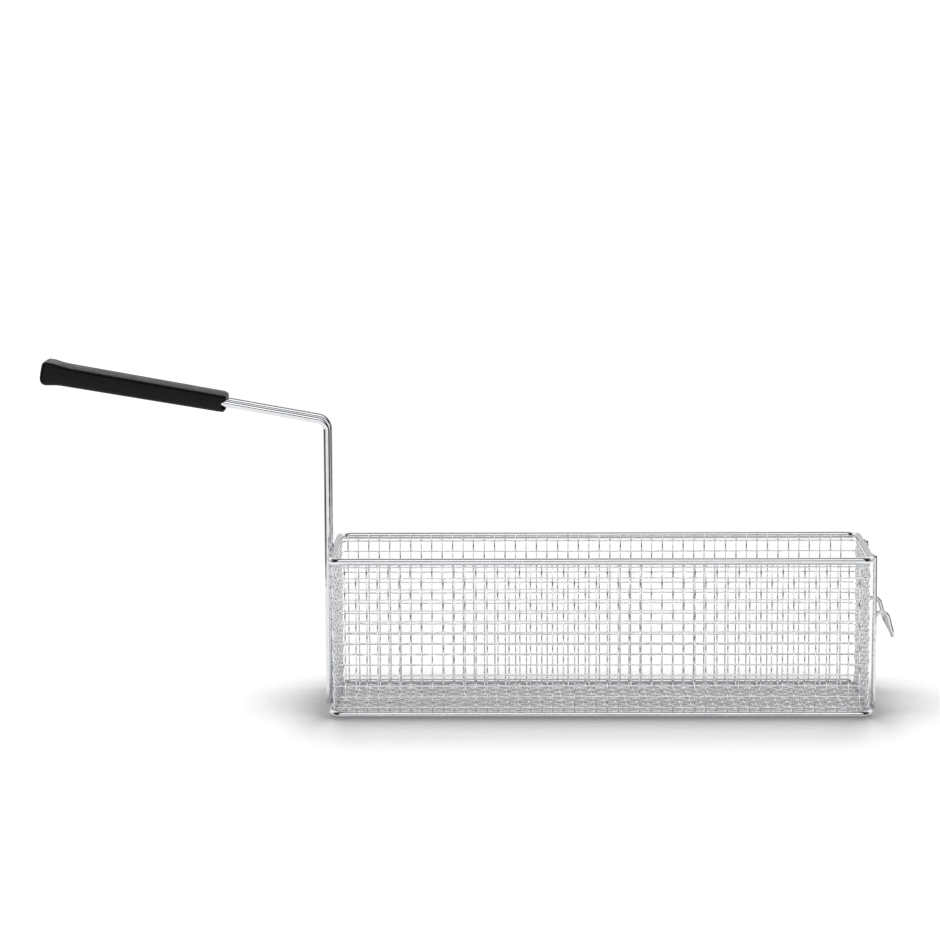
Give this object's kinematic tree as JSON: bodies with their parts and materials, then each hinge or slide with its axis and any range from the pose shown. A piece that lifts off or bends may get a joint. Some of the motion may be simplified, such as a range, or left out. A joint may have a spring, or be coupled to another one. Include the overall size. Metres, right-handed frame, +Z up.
{
  "type": "deep-fryer basket",
  "caption": "Long narrow woven-wire fryer basket with wire rims, a raised twin-rod handle with a moulded grip, and a hook for the tank rail.",
  "frame": {"origin": "bottom centre of the whole object's box, on the plane the basket stands on; the basket's own middle lies 93 mm along +X from it", "axes": "+Z up; +X along the basket, from the grip at -X to the rail hook at +X; Y across the basket, which is symmetric about Y = 0"},
  "size_m": [0.5936, 0.1226, 0.2425],
  "materials": {
    "plated_wire": "bright nickel-chrome plate on drawn steel wire",
    "woven_wire": "bright plate on crimped woven steel wire",
    "weld_metal": "plated weld bead, slightly dull",
    "grip_plastic": "black moulded heat-resistant plastic, satin"
  },
  "bodies": {
    "root": {"top_rim": "plated_wire", "bottom_rim": "plated_wire", "front_mesh": "woven_wire", "back_mesh": "woven_wire", "floor_mesh": "woven_wire", "handle_end_mesh": "woven_wire", "hook_end_mesh": "woven_wire", "grip": "grip_plastic", "hook_wire": "plated_wire", "handle_rod_front": "plated_wire", "hook_stay_front": "plated_wire", "weld_rod_top_front": "weld_metal", "weld_rod_foot_front": "weld_metal", "weld_hook_foot_front": "weld_metal", "weld_stay_top_front": "weld_metal", "weld_stay_hook_front": "weld_metal", "handle_rod_back": "plated_wire", "hook_stay_back": "plated_wire", "weld_rod_top_back": "weld_metal", "weld_rod_foot_back": "weld_metal", "weld_hook_foot_back": "weld_metal", "weld_stay_top_back": "weld_metal", "weld_stay_hook_back": "weld_metal"}
  },
  "joints": []
}
